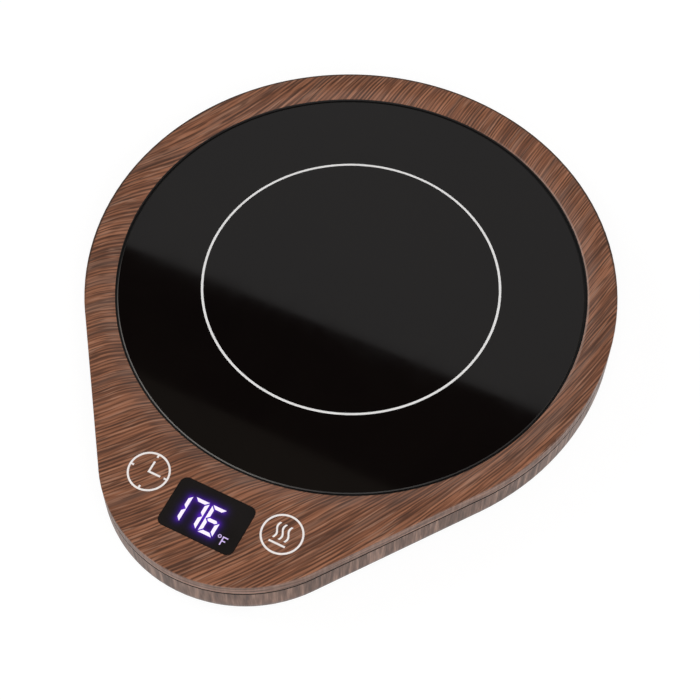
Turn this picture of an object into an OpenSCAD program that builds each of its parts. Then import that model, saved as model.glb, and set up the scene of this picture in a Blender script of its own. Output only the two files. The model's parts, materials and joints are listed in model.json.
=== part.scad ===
// Electric mug warmer: a drop-shaped case with a recessed round glass heating plate in its head
// and a lit display between two printed touch keys in its nose.
// Millimetres, +Z up. The origin is the middle of the outline, on the surface it stands on,
// with the head towards +Y and the nose towards -Y.

/* [Outline] */
// Radius of the round opening that holds the glass plate
plate_open_r = 60; // [52:0.5:70]
// Width of the case's rim round that opening, at the widest part of the head
rim_w = 7.6; // [7:0.1:14]
// Radius of the round nose
nose_r = 35.6; // [33.5:0.1:42]
// How far the nose stands out beyond the round head
nose_reach = 22.9; // [20:0.1:40]

/* [Heights] */
// Height of the gap under the case, which the feet bridge
foot_drop = 1.4; // [0.8:0.1:4]
// Height of the lower case half, from its underside to its rim
base_h = 11.8; // [11.5:0.1:20]
// Height of the dark parting line between the case halves
part_gap = 0.4; // [0.2:0.05:1]
// Height of the upper case half above the parting line
cover_edge_h = 3.6; // [2.4:0.05:5]
// Depth of the glass below the flat of the cover
recess_depth = 2.2; // [0.8:0.05:3]

/* [Case walls] */
// Wall of the lower case half, side and floor
wall = 2.0; // [1.5:0.1:2.4]
// Thickness of the cover's flat
cover_t = 2.0; // [1.6:0.1:2.6]
// Radius of the rounding under the case's side
base_round = 6.0; // [4:0.1:7]
// Radius of the rounding along the cover's upper edge
edge_round = 0.4; // [0.2:0.05:1.3]
// Width of the slope from the flat of the cover down to the glass
slope_w = 3.9; // [1:0.1:5]
// Drop of the slope's lower edge below the top of the glass
lip_drop = 0.15; // [0.05:0.05:0.5]
// Radius of the rounding at the slope's lower edge
lip_round = 0.4; // [0.1:0.05:0.6]
// Thickness of the tongue that locates the cover in the base
tongue_t = 1.4; // [1:0.1:1.8]
// Depth to which that tongue reaches into the base
tongue_h = 1.4; // [0.6:0.1:2]
// Clearance between tongue and base wall
tongue_gap = 0.2; // [0.1:0.05:0.5]
// Wall of the well round the glass
well_wall = 2.0; // [1.8:0.1:2.5]
// Width of the ledge under the edge of the glass
ledge_w = 4.0; // [3.8:0.1:5]
// Thickness of the ledge
ledge_t = 1.8; // [1.4:0.1:2]

/* [Glass plate] */
// Thickness of the glass
glass_t = 3.0; // [2.5:0.1:3.5]
// Width of the dark gap between glass and case
glass_gap = 0.45; // [0.3:0.05:0.8]
// Width of the polished bevel round the top of the glass
glass_bevel = 0.25; // [0.1:0.05:0.8]
// Radius of the printed ring
ring_r = 38; // [20:0.5:45]
// Width of the printed ring
ring_w = 0.6; // [0.3:0.1:1.5]
// Depth to which the printed ring is fired into the glass
ring_t = 0.1; // [0.05:0.01:0.3]
// Thickness of the seal under the glass
seal_t = 0.4; // [0.2:0.1:0.8]
// Drop of the seal's upstand below the top of the glass
seal_drop = 0.6; // [0.2:0.1:2]

/* [Display and keys] */
// Width of the display window
window_w = 19.9; // [16:0.1:24]
// Height of the display window, along the case
window_l = 13.5; // [11:0.1:15]
// Radius of the window's corners
window_round = 1.75; // [0.5:0.05:3]
// Distance from the edge of the plate's opening to the window's centre
window_ahead = 14.5; // [13:0.1:17]
// Width of the flange that holds the window from below
window_flange = 1.0; // [0.5:0.1:1.2]
// Thickness of that flange
flange_t = 0.6; // [0.3:0.1:0.9]
// Clearance round the window
window_gap = 0.1; // [0.05:0.01:0.2]
// Wall of the mask round the display
mask_wall = 1.1; // [0.6:0.1:1.4]
// Clearance between display and mask
mask_gap = 0.15; // [0.05:0.05:0.4]
// Half the distance between the two touch keys
key_x = 17.9; // [17:0.1:19]
// Distance from the edge of the plate's opening to the keys' line
key_ahead = 10.7; // [9.5:0.1:12]
// Radius of the printed circles on the keys
mark_r = 4.97; // [3:0.01:5.5]
// Width of the printed lines
mark_line = 0.5; // [0.3:0.05:0.8]
// Thickness of the print
mark_t = 0.05; // [0.02:0.01:0.1]
// Radius of the foam pads under the keys
pad_r = 3.5; // [2.5:0.1:4.2]

/* [Control board] */
// Height of the space between cover and board
board_drop = 2.1; // [1.8:0.1:2.4]
// Thickness of the board
board_t = 1.6; // [1:0.1:1.8]
// Half the width of the board
board_half_w = 24; // [23.5:0.1:24.2]
// Half the width of the board's front edge
board_front_half = 13; // [11:0.1:16]
// Clearance between board and case
board_clear = 0.8; // [0.5:0.1:1.2]
// Distance between the board's rear edge and the well
board_back_gap = 1.5; // [0.8:0.1:2]
// Radius of the cover's posts for the board
post_r = 2.0; // [1.8:0.1:2.4]
// Half the distance between the two rear posts
post_x = 13.6; // [13.4:0.1:15.4]

/* [Heater] */
// Thickness of the aluminium heat spreader
spreader_t = 1.2; // [0.8:0.1:1.4]
// Thickness of the heater's carrier film
film_t = 0.3; // [0.1:0.05:0.4]
// Thickness of the heater's track
track_t = 0.1; // [0.05:0.01:0.2]
// Width of the heater's track
track_w = 2.0; // [1:0.1:3]
// Distance between the track's turns
track_pitch = 5.5; // [4:0.1:6]
// Radius of the track's innermost turn
track_in_r = 14; // [12:0.5:18]
// Thickness of the insulation pad
insulation_t = 1.7; // [1.4:0.1:2]
// Thickness of the shield's sheet steel
shield_t = 0.5; // [0.3:0.05:0.7]
// Clearance of the heater's discs in the ledge
disc_gap = 0.8; // [0.3:0.1:0.9]
// Half the distance between the heater's two studs
stud_x = 5; // [4.5:0.1:5.5]
// Radius of the studs
stud_r = 1.2; // [0.8:0.1:1.4]
// Radius of the thermal fuse
cutout_r = 1.6; // [1.2:0.1:1.8]
// Length of the thermal fuse's body
cutout_l = 12; // [9:0.5:14]
// Radius of the thermistor's sheath
probe_r = 1.2; // [0.8:0.1:1.5]
// Radius of the heater leads
lead_r = 0.75; // [0.5:0.05:0.9]
// Radius of the sensor leads
thin_lead_r = 0.45; // [0.3:0.05:0.6]

/* [Screws] */
// Radius of the bosses that take the case screws
boss_r = 2.75; // [2.4:0.05:2.85]
// Radius of the case screws' shank
screw_r = 1.35; // [1.1:0.05:1.5]
// Radius of the case screws' head
screw_head_r = 2.8; // [2.4:0.1:2.9]
// Height of the case screws' head
screw_head_h = 1.5; // [1:0.1:1.6]
// Clearance of a shank in its hole
screw_gap = 0.05; // [0.02:0.01:0.1]
// Radius of the board screws' shank
small_screw_r = 0.95; // [0.8:0.05:1.1]
// Radius of the shield screws' shank
shield_screw_r = 1.2; // [1:0.05:1.3]

/* [Inlet and feet] */
// Radius of the bore for the supply cord
cord_bore_r = 2.4; // [1.8:0.1:2.6]
// Radius of the rubber bush's neck
bush_r = 3.8; // [3.4:0.1:4]
// Width of the bush's flange beyond its neck
bush_flange_w = 0.6; // [0.4:0.1:0.8]
// Thickness of the bush's flange
bush_flange_t = 1.2; // [0.8:0.1:1.4]
// Height of the bush's axis above the underside of the case
bush_rise = 5.2; // [5:0.1:5.4]
// Radius of the feet
foot_r = 5.5; // [4:0.1:8]
// Depth of the pockets that the feet are set in
foot_pocket = 0.4; // [0.2:0.1:0.8]
// Distance from the plate's centre to the four feet under the head
foot_reach = 50; // [40:0.5:52]
// Distance from the tip of the nose to the middle of the front foot
front_foot_in = 17; // [12:0.5:24]
// Width of the ventilation slots in the floor
vent_w = 2.6; // [1.5:0.1:3.5]
// Length of the ventilation slots
vent_l = 16; // [8:0.5:20]
// Distance from the plate's centre to the middle of the ventilation slots
vent_reach = 26; // [20:0.5:30]
// Number of ventilation slots
vent_count = 16; // [8:1:20]

/* [Hidden] */

// Outline: two circles and their common tangents, whose outward normals lie side_a below the X axis
head_r = plate_open_r + rim_w;
length = 2 * head_r + nose_reach;
head_y = length / 2 - head_r;
nose_y = nose_r - length / 2;
centre_gap = head_y - nose_y;
side_a = asin((head_r - nose_r) / centre_gap);
side_l = sqrt(pow(centre_gap, 2) - pow(head_r - nose_r, 2));

// Levels, from the surface upwards
z_base = foot_drop;
z_floor = z_base + wall;
z_rim = z_base + base_h;
z_part = z_rim + part_gap;
z_top = z_part + cover_edge_h;
z_under = z_top - cover_t;
z_tongue = z_rim - tongue_h;
z_glass = z_top - recess_depth;
z_lip = z_glass - lip_drop;
slope_a = atan2(z_top - z_lip, slope_w);
z_glass_low = z_glass - glass_t;
z_ledge = z_glass_low - seal_t;
z_ledge_low = z_ledge - ledge_t;
z_spreader_low = z_glass_low - spreader_t;
z_film_low = z_spreader_low - film_t;
z_pad_top = z_film_low - track_t;
z_shield_top = z_pad_top - insulation_t;
z_shield_low = z_shield_top - shield_t;
z_board_top = z_under - board_drop;
z_board_low = z_board_top - board_t;
z_boss = z_floor + 1.5;

// Radii round the plate's centre
well_r = plate_open_r + well_wall;
ledge_bore_r = plate_open_r - ledge_w;
glass_r = plate_open_r - glass_gap;
seal_gap = 0.05;
disc_r = ledge_bore_r - disc_gap;
pan_r = ledge_bore_r - 1.4;
boss_reach = (ledge_bore_r + well_r) / 2;
boss_angles = [60, 120, 190, 350];
tab_angles = [35, 145, 215, 325];

// Nose: tongue, bosses, board and the posts that carry it
tongue_in = wall + tongue_gap + tongue_t;
nose_boss_reach = nose_r - tongue_in - boss_r - 0.35;
nose_boss_a = 13.8;
board_corner_r = nose_r - tongue_in - board_clear;
board_back_y = head_y - well_r - board_back_gap;
board_tip_y = nose_y - sqrt(pow(board_corner_r, 2) - pow(board_front_half, 2));
board_side_y = board_tip_y + board_half_w - board_front_half;
window_y = head_y - plate_open_r - window_ahead;
key_y = head_y - plate_open_r - key_ahead;
post_hole_r = small_screw_r + screw_gap;
post_back_y = board_back_y - 2.3;
post_front_x = window_w / 2 + window_flange + post_r + 0.65;
post_front_y = window_y - 4.5;
posts = [[post_x, post_back_y], [-post_x, post_back_y],
    [post_front_x, post_front_y], [-post_front_x, post_front_y]];
head_bosses = [for (a = boss_angles) [boss_reach * cos(a), head_y + boss_reach * sin(a)]];
nose_bosses = [for (s = [-1, 1])
    [s * nose_boss_reach * cos(nose_boss_a), nose_y - nose_boss_reach * sin(nose_boss_a)]];
case_bosses = concat(head_bosses, nose_bosses);

// Case screws
boss_hole_r = screw_r + screw_gap;
head_pocket_r = screw_head_r + 0.3;
base_boss_r = head_pocket_r + 0.55;
z_screw_seat = z_base + screw_head_h + 0.1;
z_screw_end = z_ledge - 1.0;
small_head_r = small_screw_r * 2;
small_head_h = 1.2;
z_small_screw_end = z_under - 0.4;
shield_head_r = 2.3;
shield_head_h = 1.2;
shield_screw_reach = plate_open_r - 1.5;

// Rounded band along the edge of the case, and how far the flat pieces reach under it
band_w = base_round + 6;
cover_band_w = 5;
overlap = 1;
side_lap = 0.4;
hair = 0.03;

// Inlet
cord_z = z_base + bush_rise;
rear_y = length / 2;
bush_low_y = head_y + well_r + 0.5;
bush_high_y = rear_y - 0.15;
bush_seat_y = bush_high_y - bush_flange_t;
bush_sleeve_r = bush_r + bush_flange_w + 0.6;
bush_gap = 0.1;

// Parts on the underside of the board: width, depth, height and centre
heater_terminal_size = [10, 7, 5];
heater_terminal_at = [-6.4, post_back_y - 2];
mains_terminal_size = [10, 7, 5];
mains_terminal_at = [5.5, post_back_y - 2];
sensor_socket_size = [5, 6, 4];
sensor_socket_at = [20.5, post_back_y - 3.5];
triac_size = [6.6, 6.1, 2.3];
triac_at = [-19.8, post_back_y - 5];
film_cap_size = [12, 6, 5];
film_cap_at = [-2, post_back_y - 9.2];
round_cap_r = 2.5;
round_cap_l = 11;
round_cap_at = [10.5, post_back_y - 8.9];
chip_size = [5, 3.4, 1.6];
chip_at = [-12.1, post_back_y - 8.4];
fuse_cap_r = 1.8;
fuse_l = 12;
fuse_at = [0, post_back_y - 15.2];

// Heater details, from the plate's centre
stud_reach = 46;
stud_y = head_y - stud_reach;
stud_slot = [2 * (stud_x + stud_r) + 4, 5.5];
cutout_reach = 35.75;
cutout_at = [-16, head_y - cutout_reach];
cutout_slot = [cutout_l + 19, 2 * cutout_r + 2.3];
cutout_pin_l = 2.5;
cutout_pin_r = 0.45;
cutout_z = z_pad_top - cutout_r;
clip_t = 0.4;
clip_w = 5;
clip_half_l = 6;
probe_reach = 21.75;
probe_y = head_y - probe_reach;
probe_hole_r = probe_r + 0.4;
track_turns = 7;
track_gap_x = 8;
track_z = z_pad_top;
tab_w = 9;
z_stud_low = z_floor + 1;
z_lead = z_floor + 1.95;
z_probe_low = z_floor + 1.5;

// Leads: where they enter terminal and socket, then the points along their routes
lead_entry = 1.25;
z_terminal_in = z_board_low - heater_terminal_size[2] + lead_entry;
z_socket_in = z_board_low - sensor_socket_size[2] + lead_entry;
terminal_in_x = [for (s = [-1, 1]) heater_terminal_at[0] + s * heater_terminal_size[0] / 4];
terminal_back_y = heater_terminal_at[1] + heater_terminal_size[1] / 2;
socket_in_x = sensor_socket_at[0];
socket_back_y = sensor_socket_at[1] + sensor_socket_size[1] / 2;
cutout_left_x = cutout_at[0] - cutout_l / 2 - cutout_pin_l;
cutout_right_x = cutout_at[0] + cutout_l / 2 + cutout_pin_l;
lead_to_cutout = [
    [terminal_in_x[0], terminal_back_y, z_terminal_in],
    [terminal_in_x[0], terminal_back_y + 2.5, z_terminal_in],
    [terminal_in_x[0] - 4, terminal_back_y + 6.5, z_lead], [-21, stud_y - 7, z_lead],
    [-28.5, stud_y, z_lead], [-31.5, stud_y + 5.5, z_lead],
    [-31, cutout_at[1] - 1.6, z_lead + 0.2], [-29, cutout_at[1] - 0.3, cutout_z - 1.3],
    [cutout_left_x - 1.5, cutout_at[1], cutout_z - 0.2],
    [cutout_left_x, cutout_at[1], cutout_z]];
lead_to_first_stud = [
    [cutout_right_x, cutout_at[1], cutout_z], [cutout_right_x + 1.5, cutout_at[1], cutout_z - 0.2],
    [cutout_right_x + 4, cutout_at[1] - 1, cutout_z - 1],
    [cutout_right_x + 5.7, cutout_at[1] - 3.5, z_lead + 0.1],
    [cutout_right_x + 5, cutout_at[1] - 6.6, z_lead],
    [-stud_x + 0.6 * (stud_r + 0.05), stud_y + 0.8 * (stud_r + 0.05), z_lead]];
lead_to_second_stud = [
    [terminal_in_x[1], terminal_back_y, z_terminal_in],
    [terminal_in_x[1], terminal_back_y + 2.5, z_terminal_in],
    [terminal_in_x[1] + 1.5, stud_y - 12, z_lead], [1, stud_y - 7, z_lead], [4, stud_y - 3.5, z_lead],
    [stud_x - 0.28 * (stud_r + 0.05), stud_y - 0.96 * (stud_r + 0.05), z_lead]];
function sensor_route(side) = [
    [side * 0.6, probe_y - probe_r - 0.05, z_lead], [side * 0.9 + 0.6, probe_y - 4, z_lead],
    [7.5 + side * 1.1, probe_y - 12, z_lead], [15 + side * 1.1, probe_y - 21, z_lead],
    [socket_in_x - 1 + side * 0.65, probe_y - 31, z_lead],
    [socket_in_x + side * 0.7, socket_back_y + 5, z_lead + 0.5],
    [socket_in_x + side * 0.7, socket_back_y + 2, z_socket_in - 0.3],
    [socket_in_x + side * 0.7, socket_back_y, z_socket_in]];
lead_sides = 8;

$fn = 72;
outline_fn = 180;

// --- Shapes ---

// A quarter of a disc between +X and +Y
module quarter(r) {
    intersection() {
        circle(r, $fn = 48);
        square(r + 1);
    }
}

// A rectangle with round corners, centred
module rounded_rect(w, l, r) {
    translate([-w / 2 + r, -l / 2]) square([w - 2 * r, l]);
    for (m = [0, 1]) mirror([m, 0]) {
        translate([w / 2 - r, -l / 2 + r]) square([r, l - 2 * r]);
        for (n = [0, 1]) mirror([0, n])
            translate([w / 2 - r, l / 2 - r]) quarter(r);
    }
}

// Sweeps a profile along the outline. Its X is the distance outwards from the outline, its Y is Z.
// The first child goes round head and nose, in arcs that start on an axis. The second is swept
// along the straight sides, and is drawn a hair smaller so that it ends inside the first.
module along_outline() {
    translate([0, head_y, 0]) rotate_extrude(angle = 180, $fn = outline_fn)
        translate([head_r, 0]) children(0);
    for (m = [0, 1]) mirror([m, 0, 0]) {
        translate([0, head_y, 0]) mirror([0, 1, 0]) rotate_extrude(angle = side_a, $fn = outline_fn)
            translate([head_r, 0]) children(0);
        translate([0, nose_y, 0]) rotate([0, 0, -90]) rotate_extrude(angle = 90 - side_a, $fn = outline_fn)
            translate([nose_r, 0]) children(0);
        translate([0, head_y, 0]) rotate([0, 0, -side_a]) translate([head_r, side_lap, 0])
            rotate([90, 0, 0]) linear_extrude(side_l + 2 * side_lap) children(1);
    }
}

// A slab that fills the outline, drawn in by inset, with its sides a little further in
module filling_slab(inset, z, h) {
    tangent = [cos(side_a), -sin(side_a)];
    head_p = [0, head_y] + (head_r - inset - overlap / 2) * tangent;
    nose_p = [0, nose_y] + (nose_r - inset - overlap / 2) * tangent;
    plate_centred_disc(head_r - inset, z, h);
    translate([0, nose_y, z]) cylinder(r = nose_r - inset, h = h, $fn = outline_fn);
    translate([0, 0, z]) linear_extrude(h)
        polygon([head_p, nose_p, [-nose_p[0], nose_p[1]], [-head_p[0], head_p[1]]]);
}

// A ring round the plate's centre, from its inner and outer radius
module plate_centred_ring(r_in, r_out, z, h) {
    translate([0, head_y, z]) rotate_extrude($fn = outline_fn)
        translate([r_in, 0]) square([r_out - r_in, h]);
}

// A disc round the plate's centre
module plate_centred_disc(r, z, h) {
    translate([0, head_y, z]) cylinder(r = r, h = h, $fn = outline_fn);
}

// A block centred on a point of the board, hanging down from its underside
module under_board(size, at) {
    translate([at[0] - size[0] / 2, at[1] - size[1] / 2, z_board_low - size[2]]) cube(size);
}

// A tube of radius r along a route that never runs straight up or down
function unit(v) = v / norm(v);
function direction(route, i) =
    i == 0 ? unit(route[1] - route[0])
    : i == len(route) - 1 ? unit(route[i] - route[i - 1])
    : unit(unit(route[i + 1] - route[i]) + unit(route[i] - route[i - 1]));
module lead(route, r) {
    n = len(route);
    points = [for (i = [0:n - 1])
        let (along = direction(route, i), across = unit(cross([0, 0, 1], along)),
            upward = cross(along, across))
        for (k = [0:lead_sides - 1])
            let (a = 360 * k / lead_sides) route[i] + r * (cos(a) * across + sin(a) * upward)];
    sides = [for (i = [0:n - 2]) for (k = [0:lead_sides - 1])
        let (a = i * lead_sides + k, b = i * lead_sides + (k + 1) % lead_sides)
        [a, a + lead_sides, b + lead_sides, b]];
    start = [for (k = [0:lead_sides - 1]) k];
    end = [for (k = [lead_sides - 1:-1:0]) (n - 1) * lead_sides + k];
    polyhedron(points, concat([start, end], sides));
}

// --- Case ---

// Section of the cover's edge: rounded above, with the tongue below. It is drawn in by h all round.
module cover_edge_section(h) {
    polygon([[-cover_band_w, z_under + h], [-tongue_in + h, z_under + h],
        [-tongue_in + h, z_tongue + h], [-wall - tongue_gap - h, z_tongue + h],
        [-wall - tongue_gap - h, z_part + h], [-h, z_part + h], [-h, z_top - edge_round],
        [-edge_round, z_top - edge_round], [-edge_round, z_top - h], [-cover_band_w, z_top - h]]);
    translate([-edge_round, z_top - edge_round]) quarter(edge_round - h);
}

// Space above the glass with its sloped rim and rounded lip, and the seat of the glass
module plate_opening() {
    lip_centre = [plate_open_r + lip_round, z_lip - lip_round / tan(45 + slope_a / 2)];
    lip = [for (i = [0:3]) let (a = 180 - i * (90 - slope_a) / 3)
        lip_centre + lip_round * [cos(a), sin(a)]];
    translate([0, head_y, 0]) rotate_extrude($fn = outline_fn)
        polygon(concat([[0, z_ledge], [plate_open_r, z_ledge]], lip,
            [[plate_open_r + slope_w, z_top], [plate_open_r + slope_w, z_top + 1], [0, z_top + 1]]));
    plate_centred_disc(ledge_bore_r, z_ledge_low - 1, ledge_t + 2);
}

module top_cover() {
    color([0.46, 0.29, 0.22]) difference() {
        union() {
            along_outline() {
                cover_edge_section(0);
                cover_edge_section(hair);
            }
            filling_slab(cover_band_w - overlap, z_under, cover_t);
            plate_centred_ring(ledge_bore_r - overlap, well_r, z_ledge_low, z_under + 0.5 - z_ledge_low);
            for (p = head_bosses)
                translate([p[0], p[1], z_boss]) cylinder(r = boss_r, h = z_ledge_low + 0.5 - z_boss);
            for (p = nose_bosses)
                translate([p[0], p[1], z_boss]) cylinder(r = boss_r, h = z_under + 0.5 - z_boss);
            for (p = posts)
                translate([p[0], p[1], z_board_top]) cylinder(r = post_r, h = board_drop + 0.5);
        }
        plate_opening();
        translate([0, window_y, z_under - 1]) linear_extrude(cover_t + 2)
            rounded_rect(window_w + 2 * window_gap, window_l + 2 * window_gap, window_round + window_gap);
        for (p = case_bosses)
            translate([p[0], p[1], z_boss - 1]) cylinder(r = boss_hole_r, h = z_screw_end + 1.2 - z_boss);
        for (p = posts)
            translate([p[0], p[1], z_board_top - 1])
                cylinder(r = post_hole_r, h = z_small_screw_end + 1.2 - z_board_top);
        for (a = tab_angles)
            translate([shield_screw_reach * cos(a), head_y + shield_screw_reach * sin(a), z_ledge_low - 1])
                cylinder(r = shield_screw_r + screw_gap, h = ledge_t + 0.6);
    }
}

// Section of the base's side: wall, rounding and the edge of the floor. It is drawn in by h.
module base_section(h) {
    inner_round = base_round - wall + h;
    z_arc = z_base + base_round;
    difference() {
        union() {
            translate([-band_w, z_base + h]) square([band_w - base_round, base_h - 2 * h]);
            translate([-base_round, z_arc]) square([base_round - h, base_h - base_round - h]);
            translate([-base_round, z_arc]) mirror([0, 1]) quarter(base_round - h);
        }
        translate([-band_w - 1, z_floor - h]) square([band_w + 1 - base_round, base_h]);
        translate([-base_round, z_arc]) square([inner_round, base_h]);
        translate([-base_round, z_arc]) mirror([0, 1]) quarter(inner_round);
    }
}

module vent_slot() {
    translate([-vent_l / 2 + vent_w / 2, -vent_w / 2, z_base - 1]) cube([vent_l - vent_w, vent_w, wall + 2]);
    for (s = [-1, 1]) translate([s * (vent_l - vent_w) / 2, 0, z_base - 1])
        cylinder(r = vent_w / 2, h = wall + 2, $fn = 32);
}

feet = concat(
    [for (a = [40, 140, 220, 320]) [foot_reach * cos(a), head_y + foot_reach * sin(a)]],
    [[0, front_foot_in - length / 2]]);

module base_cover() {
    color([0.40, 0.27, 0.22]) difference() {
        union() {
            along_outline() {
                base_section(0);
                base_section(hair);
            }
            filling_slab(band_w - overlap, z_base, wall);
            for (p = case_bosses)
                translate([p[0], p[1], z_base + 0.5]) cylinder(r = base_boss_r, h = z_boss - z_base - 0.5);
            translate([0, bush_seat_y + bush_flange_t - 0.2, cord_z]) rotate([90, 0, 0])
                cylinder(r = bush_sleeve_r, h = bush_seat_y + bush_flange_t - 0.2 - bush_low_y);
        }
        for (p = case_bosses) {
            translate([p[0], p[1], z_base - 1]) cylinder(r = head_pocket_r, h = z_screw_seat + 1 - z_base);
            translate([p[0], p[1], z_base]) cylinder(r = boss_hole_r + 0.15, h = z_boss);
        }
        translate([0, rear_y + 1, cord_z]) rotate([90, 0, 0])
            cylinder(r = bush_r + bush_gap, h = rear_y + 2 - bush_low_y);
        translate([0, rear_y + 1, cord_z]) rotate([90, 0, 0])
            cylinder(r = bush_r + bush_flange_w + bush_gap, h = rear_y + 1 - bush_seat_y);
        for (p = feet)
            translate([p[0], p[1], z_base - 1]) cylinder(r = foot_r + 0.1, h = foot_pocket + 1);
        for (i = [0:vent_count - 1])
            translate([0, head_y, 0]) rotate([0, 0, 360 * (i + 0.5) / vent_count])
                translate([vent_reach, 0, 0]) vent_slot();
    }
}

module rubber_feet() {
    color([0.06, 0.06, 0.06]) for (p = feet)
        translate([p[0], p[1], 0]) rotate_extrude()
            polygon([[0, 0], [foot_r - 0.4, 0], [foot_r, 0.4], [foot_r, z_base + foot_pocket],
                [0, z_base + foot_pocket]]);
}

module case_screws() {
    color([0.55, 0.56, 0.58]) for (p = case_bosses) translate([p[0], p[1], 0]) difference() {
        union() {
            translate([0, 0, z_screw_seat - screw_head_h]) cylinder(r = screw_head_r, h = screw_head_h);
            translate([0, 0, z_screw_seat - 0.5]) cylinder(r = screw_r, h = z_screw_end - z_screw_seat + 0.5);
        }
        for (a = [0, 90]) rotate([0, 0, a])
            translate([-1.6, -0.3, z_screw_seat - screw_head_h - 1]) cube([3.2, 0.6, 1.9]);
    }
}

module cord_bush() {
    color([0.05, 0.05, 0.05]) translate([0, bush_low_y, cord_z]) rotate([-90, 0, 0]) rotate_extrude()
        polygon([[cord_bore_r, 0], [bush_r, 0], [bush_r, bush_seat_y - bush_low_y],
            [bush_r + bush_flange_w, bush_seat_y - bush_low_y],
            [bush_r + bush_flange_w, bush_high_y - bush_low_y - 0.4],
            [bush_r + bush_flange_w - 0.4, bush_high_y - bush_low_y],
            [cord_bore_r, bush_high_y - bush_low_y]]);
}

// --- Plate ---

module glass_plate() {
    groove_gap = 0.01;
    color([0.04, 0.04, 0.045]) difference() {
        translate([0, head_y, 0]) rotate_extrude($fn = outline_fn)
            polygon([[0, z_glass_low], [glass_r, z_glass_low], [glass_r, z_glass - glass_bevel],
                [glass_r - glass_bevel, z_glass], [0, z_glass]]);
        plate_centred_ring(ring_r - ring_w / 2 - groove_gap, ring_r + ring_w / 2 + groove_gap,
            z_glass - ring_t, 1);
    }
}

module plate_ring() {
    color([0.86, 0.85, 0.83])
        plate_centred_ring(ring_r - ring_w / 2, ring_r + ring_w / 2, z_glass - ring_t, ring_t);
}

module seal_ring() {
    outer = plate_open_r - seal_gap;
    color([0.03, 0.03, 0.03]) union() {
        plate_centred_ring(ledge_bore_r + 0.5, outer, z_ledge, seal_t);
        plate_centred_ring(glass_r + seal_gap, outer, z_ledge, z_glass - seal_drop - z_ledge);
    }
}

module heat_spreader() {
    color([0.75, 0.76, 0.77]) plate_centred_disc(disc_r, z_spreader_low, spreader_t);
}

module heater_film() {
    color([0.72, 0.42, 0.12]) plate_centred_disc(disc_r - 1, z_film_low, film_t);
}

// Where a turn of the track meets the straight edge of its gap
function turn_y(r) = -sqrt(pow(r, 2) - pow(track_gap_x, 2));

// One bar of the track between two points on a line along X or Y
module track_bar(x0, x1, y0, y1) {
    translate([min(x0, x1), min(y0, y1), 0]) cube([abs(x1 - x0), abs(y1 - y0), track_t]);
}

module heater_track() {
    h = track_w / 2;
    outer_r = track_in_r + (track_turns - 1) * track_pitch;
    stud_dy = stud_y - head_y;
    color([0.70, 0.70, 0.68]) translate([0, head_y, track_z]) {
        for (i = [0:track_turns - 1]) {
            r = track_in_r + i * track_pitch;
            gap_a = asin(track_gap_x / r);
            rotate([0, 0, -90 + gap_a]) rotate_extrude(angle = 360 - 2 * gap_a, $fn = outline_fn)
                translate([r - h, 0]) square([track_w, track_t]);
        }
        for (i = [0:track_turns - 2]) {
            side = i % 2 == 0 ? 1 : -1;
            r = track_in_r + i * track_pitch;
            track_bar(side * (track_gap_x - h), side * (track_gap_x + h),
                turn_y(r) + h / 2, turn_y(r + track_pitch) - h / 2);
        }
        track_bar(stud_x - h, track_gap_x + h, stud_dy - h, turn_y(outer_r) + h);
        track_bar(-track_gap_x - h, -stud_x + h, turn_y(track_in_r) - h, turn_y(track_in_r) + h);
        track_bar(-stud_x - h, -stud_x + h, stud_dy - h, turn_y(track_in_r) + h);
        for (s = [-1, 1])
            translate([s * stud_x, stud_dy, z_stud_low - track_z])
                cylinder(r = stud_r, h = track_z + track_t / 2 - z_stud_low);
    }
}

// Openings through pad and shield for the studs, the thermal fuse and the sensor
module heater_openings(z, h) {
    translate([-stud_slot[0] / 2, stud_y - stud_slot[1] / 2, z]) cube([stud_slot[0], stud_slot[1], h]);
    translate([cutout_at[0] - cutout_slot[0] / 2, cutout_at[1] - cutout_slot[1] / 2, z])
        cube([cutout_slot[0], cutout_slot[1], h]);
    translate([0, probe_y, z]) cylinder(r = probe_hole_r, h = h);
}

module insulation_pad() {
    color([0.90, 0.88, 0.82]) difference() {
        plate_centred_disc(pan_r - shield_t - 0.2, z_shield_top, insulation_t);
        heater_openings(z_shield_top - 1, insulation_t + 2);
    }
}

module heat_shield() {
    color([0.62, 0.63, 0.65]) difference() {
        union() {
            plate_centred_disc(pan_r, z_shield_low, shield_t);
            plate_centred_ring(pan_r - shield_t, pan_r, z_shield_low, z_ledge_low - z_shield_low);
            for (a = tab_angles) translate([0, head_y, z_ledge_low - shield_t]) rotate([0, 0, a])
                translate([pan_r - shield_t / 2, -tab_w / 2, 0])
                    cube([shield_screw_reach + 3 - pan_r, tab_w, shield_t]);
        }
        heater_openings(z_shield_low - 1, shield_t + 2);
        for (a = tab_angles)
            translate([shield_screw_reach * cos(a), head_y + shield_screw_reach * sin(a), z_shield_low])
                cylinder(r = shield_screw_r + 0.2, h = z_ledge_low);
    }
}

module shield_screws() {
    color([0.55, 0.56, 0.58]) for (a = tab_angles)
        translate([shield_screw_reach * cos(a), head_y + shield_screw_reach * sin(a),
            z_ledge_low - shield_t]) {
            translate([0, 0, -shield_head_h]) cylinder(r = shield_head_r, h = shield_head_h);
            translate([0, 0, -0.5]) cylinder(r = shield_screw_r, h = shield_t + ledge_t - 0.1);
        }
}

module thermistor() {
    color([0.15, 0.15, 0.16])
        translate([0, probe_y, z_probe_low]) cylinder(r = probe_r, h = z_pad_top - z_probe_low);
}

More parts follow.
